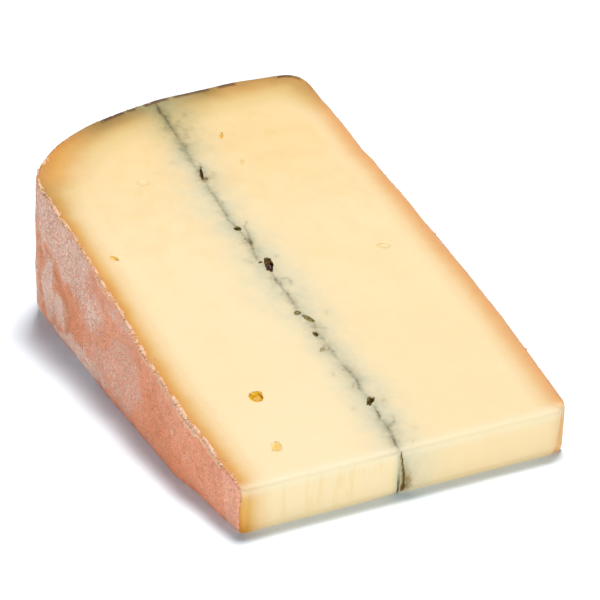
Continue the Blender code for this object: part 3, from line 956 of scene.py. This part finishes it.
# Colours as they look in the light of the scene. The gain makes up for that light, and the glare for the
# white shine that lies over a colour.
pasteLook = {
    "gain": 0.825,
    "glare": 0.028,
    "pale": (254, 232, 186),
    "warm": (254, 227, 175),
    "deep": (248, 214, 153),
    "leftEdge": (
        (0, (221, 152, 72)), (0.09, (227, 167, 82)), (0.17, (232, 180, 102)), (0.30, (240, 199, 137)),
        (0.48, (247, 215, 161)), (0.76, (253, 224, 175)),
    ),
    "rightEdge": (
        (0, (232, 173, 118)), (0.10, (237, 178, 114)), (0.20, (240, 188, 127)), (0.31, (243, 199, 142)),
        (0.48, (248, 215, 161)), (0.76, (253, 224, 175)),
    ),
    "rimEdge": (
        (0, (194, 148, 86)), (0.07, (206, 158, 88)), (0.17, (214, 169, 98)), (0.31, (227, 189, 120)),
        (0.48, (237, 205, 141)), (0.76, (245, 215, 156)),
    ),
    "olive": (99, 99, 55),
    "haze": (220, 215, 184),
    "hazeBack": (188, 178, 130),
    "smoke": (194, 187, 154),
    "smokeBack": (168, 157, 112),
    "ash": (88, 76, 50),
    "ashCool": (124, 114, 96),
    "hollow": (
        (0, (252, 228, 168)), (0.20, (250, 214, 130)), (0.35, (252, 200, 48)), (0.50, (228, 168, 38)),
        (0.64, (180, 166, 106)), (0.72, (142, 128, 74)), (0.82, (128, 96, 44)), (1, (84, 60, 30)),
    ),
    # colour of the painted highlight along the upper edge of the tip cut
    "paintedHighlight": (255, 243, 210),
    "dusk": (112, 78, 48),
    "fringe": (255, 212, 182),
    "crack": (160, 128, 66),
    "sheet": (84, 74, 50),
    "sheetPale": (128, 118, 88),
}
rindLook = {
    "gain": 1.29,
    "glare": 0.028,
    "salmon": (216, 137, 102),
    "rose": (222, 150, 119),
    "brown": (202, 124, 90),
    "bloom": (255, 197, 181),
    "veil": (240, 182, 163),
    "rust": (203, 132, 94),
    "dusk": (142, 102, 74),
    "duskDeep": (106, 74, 50),
    "panel": (233, 172, 148),
    "line": (234, 186, 164),
    "crumbly": (255, 190, 158),
}
crumbLook = {
    "gain": 0.88, "glare": 0.028,
    "light": (255, 205, 170), "deep": (241, 179, 142), "dust": (255, 217, 186),
}


def pasteColor(look):
    # pale paste, amber towards the rind, with haze and marks of ash along the line
    look.palette = pasteLook
    broad = look.speckle(38)
    middle = look.speckle(150, 3, 0.6, (3.1, 0.7, 5.3))
    fine = look.speckle(1100, 3, 0.65)
    across, along = look.axis("X"), look.axis("Y")
    back = look.step(along, -0.045, 0.060)
    right = look.step(across, -0.004, 0.012)
    warmth = look.add(look.step(broad, 0.35, 0.65), 0.4, look.times(right, 0.35))
    look.color = look.blend(look.add(back, 0.35, warmth, clamp=True), "pale", "warm")
    deeper = look.times(look.step(middle, 0.40, 0.75), look.add(back, 0.5, 0.08))
    look.cover("deep", look.add(look.step(along, -0.005, 0.048), 0.6, deeper, clamp=True))
    stripes = look.step(look.speckle(620, 2, 0.6, (0.8, 1.7, 2.9), (1, 1, 0.1)), 0.48, 0.68)
    strength = look.times("tipFace", look.step(across, -0.004, 0, 0.4, 0.1))
    look.cover("deep", stripes, strength)
    share = look.times(look.sway(middle, 0.35, "ripe"), 0.72, clamp=True)
    edge = look.blend(right, look.ramp(share, "leftEdge"), look.ramp(share, "rightEdge"))
    edge = look.blend("rimSide", edge, look.ramp(share, "rimEdge"))
    look.cover(edge, look.step(share, 0.60, 0.98, 1, 0))
    look.cover("olive", "olive")
    olive = look.step(along, 0.030, 0.048)
    cloud = look.step(look.speckle(420, 3, 0.6, (1.3, 4.4, 2.2)), 0.25, 0.75, 0.6, 1)
    grains = look.step(fine, 0.3, 0.62, 0.6, 1.1)
    for name, strength, pattern in (("haze", 0.95, cloud), ("smoke", 0.8, grains)):
        amount = look.times(look.times(name, strength), pattern, clamp=True)
        look.cover(look.blend(olive, name, name + "Back"), amount)
    ash = look.blend(look.step(middle, 0.55, 0.7), "ash", "ashCool")
    ash = look.blend(look.times("tipFace", 0.75), ash, "crack")
    look.cover(ash, look.times("ash", grains, clamp=True))
    # painted highlight along the upper edge of the tip cut
    look.cover("paintedHighlight", "paintedHighlight", 0.5)
    # Inside the pockets: each pocket's own tone, made darker the deeper a point lies, which is painted shade
    # in the hollow
    tone = look.add(look.step("sunk", 0.2, 1.6), 0.12, look.sway(fine, 0.35, "tone"), clamp=True)
    look.cover(look.ramp(tone, "hollow"), look.step("sunk", 0.03, 0.35))
    look.cover("dusk", look.step(look.sway(fine, -0.8, "depth"), 0.95, 1.75, 1, 0), "dusk")
    return look.color, middle, fine


def rindColor(look):
    # dusty salmon skin with white bloom, bare rusty streaks and dark mould
    look.palette = rindLook
    broad = look.speckle(70, 3, 0.55, (7.7, 1.9, 0.3))
    middle = look.speckle(330, 3, 0.6, (0.4, 8.2, 3.6))
    fine = look.speckle(1500, 3, 0.65, (5.5, 2.4, 1.1))
    worms = look.speckle(650, 2, 0.5, (2.9, 3.8, 9.4), distortion=1.6)
    line = look.step(look.calc("ABSOLUTE", look.calc("SUBTRACT", worms, 0.5)), 0.01, 0.06, 1, 0)
    look.color = look.blend(look.step(broad, 0.35, 0.65), "salmon", "rose")
    look.cover("brown", look.step(middle, 0.5, 0.68), 0.45)
    look.cover("line", line, 0.3)
    look.cover("panel", "panel", 0.8)
    look.cover("rust", look.step(look.sway(middle, 0.9, "rust"), 0.3, 0.75), 0.7)
    look.cover("veil", "bloom", 0.36)
    powder = look.add(line, 0.3, look.sway(middle, 0.9, look.sway(fine, 2.6, "bloom")))
    powder = look.times(look.step(powder, 0.50, 1.12), look.step("bloom", 0, 0.25))
    look.cover("bloom", powder, 0.85)
    crumbly = look.sway(middle, 1.2, look.sway(fine, 2.2, "crumbly"))
    look.cover("crumbly", look.step(crumbly, 0.45, 0.9), 0.9)
    dusk = look.blend(look.step(middle, 0.4, 0.6), "dusk", "duskDeep")
    look.cover(dusk, look.step(look.sway(fine, 0.8, "dusk"), 0.25, 0.6), 0.85)
    height = look.add(fine, 0.12, look.add(line, 0.10, look.times(middle, 0.4)))
    return look.color, look.add(powder, 0.08, height)


def makeCheeseMaterial():
    look = Recipe("cheese", pasteLook)
    paste, middle, fine = pasteColor(look)
    rind, rindHeight = rindColor(look)
    look.palette = pasteLook
    edge = look.speckle(1900, 2, 0.6, (4.4, 4.1, 0.2))
    inside = look.step(look.sway(edge, -1.1, "depth"), 0.10, 0.38)
    look.color = look.blend(inside, rind, paste)
    fringe = look.times("fringe", look.step("depth", 0.5, 1.3, 1, 0))
    fringe = look.step(look.sway(edge, 1.5, fringe), 0.42, 0.66)
    look.cover("fringe", look.times(fringe, look.step("fringe", 0.02, 0.2)), 0.9)
    pasteHeight = look.add(fine, 0.02, look.times(middle, 0.05))
    height = look.add(inside, look.calc("SUBTRACT", pasteHeight, rindHeight), rindHeight)
    return look.finish(
        look.step(inside, 0, 1, 0.85, 0.5), height, Specular_IOR_Level=0.35,
        Subsurface_Weight=0.16, Subsurface_Radius=(1, 0.6, 0.3), Subsurface_Scale=1.6 * mm,
    )


def makeAshMaterial():
    # like the paste where the line is faint, dark where it is strong and all over inside
    look = Recipe("ash", pasteLook)
    pasteColor(look)
    grains = look.speckle(1400, 3, 0.6)
    dark = look.blend(look.step(grains, 0.35, 0.65), "sheet", "sheetPale")
    line = look.step(look.sway(grains, 0.8, "ash"), 0.3, 1)
    look.cover(dark, look.calc("MAXIMUM", look.add(line, 0.4, 0.06), "hidden"))
    return look.finish(0.7, look.times(grains, 0.03), Specular_IOR_Level=0.25)


def makeCrumbMaterial():
    look = Recipe("rindCrumb", crumbLook)
    fine = look.speckle(1300, 2, 0.6)
    broad = look.speckle(240, 2, 0.5, (1.9, 3.3, 0.7))
    look.color = look.blend(look.step(broad, 0.38, 0.62), "light", "deep")
    look.cover("dust", look.step(fine, 0.5, 0.7))
    return look.finish(0.8, look.times(fine, 0.05), Subsurface_Weight=0.1, Subsurface_Scale=mm)


crumbs = {
    # from and to as shares of the outline's length, number, how far in from the edge in millimetres
    "leftEdge": (0.02, 0.36, 520, 0.6),
    "shoulder": (0.36, 0.46, 14, 1.0),
    "rim": (0.46, 0.70, 5, 1.6),
    "rightEdge": (0.70, 0.985, 22, 1.2),
    "sizes": (0.09, 0.27),  # smallest and largest radius in millimetres
    "seed": 7,
}


def makeCrumbs(material):
    # small crumbs of rind, dragged along the edge of the upper cut by the knife
    rng = np.random.default_rng(crumbs["seed"])
    length = travelAlong(outline)[-1]
    spots = []
    for stretch in ("leftEdge", "shoulder", "rim", "rightEdge"):
        first, last, count, reach = crumbs[stretch]
        section = placesAlong(outline, rng.uniform(first, last, count) * length)
        inward = ((0.18 + rng.exponential(0.45, count)) * reach) * mm
        x, r = (section - fromRind(*section.T)[2] * inward[:, None]).T
        spots.append(np.stack([x, r * math.cos(slope), r * math.sin(slope)], 1))
    spots = np.concatenate(spots)
    spots = spots[spots[:, 1] > tip + 0.5 * mm]
    depth, _, outward = rindAround(spots)
    bm = bmesh.new()
    smallest, largest = crumbs["sizes"]
    for spot in displace(spots, depth, outward):
        size = (smallest + (largest - smallest) * rng.random() ** 2) * mm
        made = bmesh.ops.create_icosphere(bm, subdivisions=1, radius=size)["verts"]
        stretch = rng.uniform(0.6, 1.4, 3)
        for vert in made:
            vert.co = Vector([c * s for c, s in zip(vert.co, stretch)]) * rng.uniform(0.8, 1.2)
        turn = Matrix.Rotation(rng.uniform(0, 2 * math.pi), 4, "Z")
        turn @= Matrix.Rotation(rng.uniform(0, 2), 4, "X")
        place = Matrix.Translation(Vector(spot) + cutNormal * size * 0.25)
        bmesh.ops.transform(bm, matrix=place @ turn, verts=made)
    finishPiece("rindCrumbs", newMesh("rindCrumbs", bm), material, "paste", sharp=False)


cheese = makeCheeseMaterial()
whole = sliceOfWheel()
pocketTools = [makePocketTool(0), makePocketTool(1)]
print("slice and pockets shaped")
makeHalf("pasteLeft", -1, "paste_left")
makeHalf("pasteRight", 1, "paste_right")
makeAsh()
whole.free()
for tool in pocketTools:
    bpy.data.objects.remove(tool)
makeCrumbs(makeCrumbMaterial())

studio = {
    "floorSize": 3.0,
    "floorGlow": (0.01, 0.053, 0.095),
    "camera": (-0.2471, -0.5129, 0.3026),
    "cameraTurn": (63.188, 0.0, -26.392),
    "lens": 180.0,
    "worldStrength": 0.115,
}
floorLook = {"gain": 1.0, "glare": 0.0, "light": (245, 250, 253), "deep": (243, 247, 249)}
lamps = {
    # azimuth from the front and elevation in degrees, distance, width and height in metres, watts
    "overhead": (132, 77.5, 1.2, 0.31, 0.31, 14.7),
    "lowFront": (-10, 6, 1.3, 1.2, 0.14, 7.6),
    "lowLeft": (-66, 6, 1.3, 1.0, 0.14, 3.9),
    "lowRight": (20, 8, 1.3, 0.8, 0.16, 1.4),
}


def makeFloor():
    bm = bmesh.new()
    bmesh.ops.create_grid(bm, x_segments=1, y_segments=1, size=studio["floorSize"] / 2)
    mesh = newMesh("floor", bm)
    look = Recipe("floor", floorLook)
    look.color = look.blend(look.times(look.speckle(3.0), 0.1), "light", "deep")
    look.shader.inputs["Emission Color"].default_value = (*studio["floorGlow"], 1)
    look.shader.inputs["Emission Strength"].default_value = 1.0
    mesh.materials.append(look.finish(0.9, 0.0, Specular_IOR_Level=0.1))
    addObject("floor", mesh)


def makeLight(name):
    azimuth, elevation, distance, width, height, watts = lamps[name]
    azimuth, elevation = math.radians(azimuth), math.radians(elevation)
    light = bpy.data.lights.new(name, "AREA")
    light.shape = "RECTANGLE"
    light.size = width
    light.size_y = height
    light.energy = watts
    item = addObject(name, light)
    flat = math.cos(elevation)
    way = Vector((math.sin(azimuth) * flat, -math.cos(azimuth) * flat, math.sin(elevation)))
    item.location = distance * way
    item.rotation_euler = (Vector((0, 0, 0.015)) - item.location).to_track_quat("-Z", "Y").to_euler()


def makeCamera():
    camera = bpy.data.cameras.new("photoCamera")
    camera.lens = studio["lens"]
    camera.sensor_width = 36.0
    camera.clip_start = 0.01
    item = addObject("photoCamera", camera)
    item.location = studio["camera"]
    item.rotation_euler = [math.radians(part) for part in studio["cameraTurn"]]
    bpy.context.scene.camera = item


makeFloor()
for lampName in lamps:
    makeLight(lampName)
makeCamera()
scene = bpy.context.scene
scene.view_settings.view_transform = "Standard"
scene.world = scene.world or bpy.data.worlds.new("studio")
scene.world.use_nodes = True
background = scene.world.node_tree.nodes["Background"]
background.inputs["Color"].default_value = (1, 1, 1, 1)
background.inputs["Strength"].default_value = studio["worldStrength"]
print("studio set")
